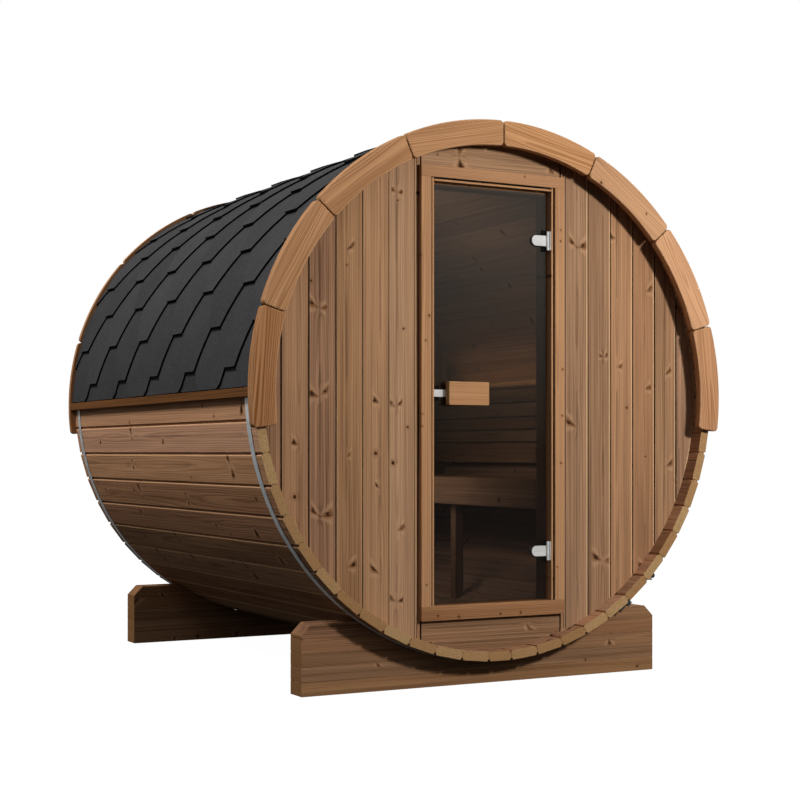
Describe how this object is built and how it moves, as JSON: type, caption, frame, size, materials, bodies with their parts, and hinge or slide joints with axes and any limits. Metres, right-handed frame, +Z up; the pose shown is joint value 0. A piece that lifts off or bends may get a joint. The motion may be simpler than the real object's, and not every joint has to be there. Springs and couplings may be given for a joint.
{
  "type": "barrel sauna",
  "caption": "Barrel sauna of wooden staves lying on two cradles, with board end walls, a shingle cover, steel bands and a hinged glass door.",
  "frame": {"origin": "on the ground under the middle of the barrel", "axes": "+Z up, +Y along the barrel from the door end to the rear, +X to the right seen from the front"},
  "size_m": [2.0498, 2.156, 2.118],
  "materials": {
    "stave_wood": "planed heat-treated softwood",
    "wall_wood": "planed heat-treated softwood",
    "trim_wood": "planed heat-treated softwood",
    "frame_wood": "planed softwood",
    "cradle_wood": "laminated softwood",
    "cabin_wood": "planed softwood",
    "batten_wood": "dark stained softwood",
    "shingle": "mineral granules on bitumen",
    "band_steel": "galvanised",
    "hinge_steel": "satin",
    "door_glass": "tinted clear"
  },
  "bodies": {
    "root": {"cradle_front": "cradle_wood", "cradle_rear": "cradle_wood", "staves_bottom": "stave_wood", "staves_left": "stave_wood", "staves_right": "stave_wood", "staves_upper_left": "stave_wood", "staves_upper_right": "stave_wood", "staves_top": "stave_wood", "band_front": "band_steel", "band_rear": "band_steel", "band_tensioners": "band_steel", "roof_left": "shingle", "roof_right": "shingle", "eave_batten_left": "batten_wood", "eave_batten_right": "batten_wood", "front_trim_left": "trim_wood", "front_trim_right": "trim_wood", "rear_trim_left": "trim_wood", "rear_trim_right": "trim_wood", "front_wall_left": "wall_wood", "front_wall_right": "wall_wood", "front_wall_head": "wall_wood", "front_wall_foot": "wall_wood", "door_posts": "wall_wood", "rear_wall_left": "wall_wood", "rear_wall_right": "wall_wood", "door_jamb_left": "frame_wood", "door_jamb_right": "frame_wood", "door_head": "frame_wood", "door_sill": "frame_wood", "hinge_plates": "hinge_steel", "floor_boards": "cabin_wood", "floor_joists": "cabin_wood", "bench_seat": "cabin_wood", "bench_apron": "cabin_wood", "bench_bearers": "cabin_wood", "bench_leg": "cabin_wood", "backrest_slats": "cabin_wood", "backrest_posts": "cabin_wood", "backrest_ledge": "cabin_wood"},
    "door": {"door_glass": "door_glass", "hinge_clamps": "hinge_steel", "handle_plate": "hinge_steel", "door_handle": "frame_wood"}
  },
  "joints": [
    {"name": "door_hinge", "type": "hinge", "parent": "root", "child": "door", "pos_m": [0.251, -0.993, 1.1], "axis": [0, 0, 1], "range_deg": [0, 100]}
  ]
}
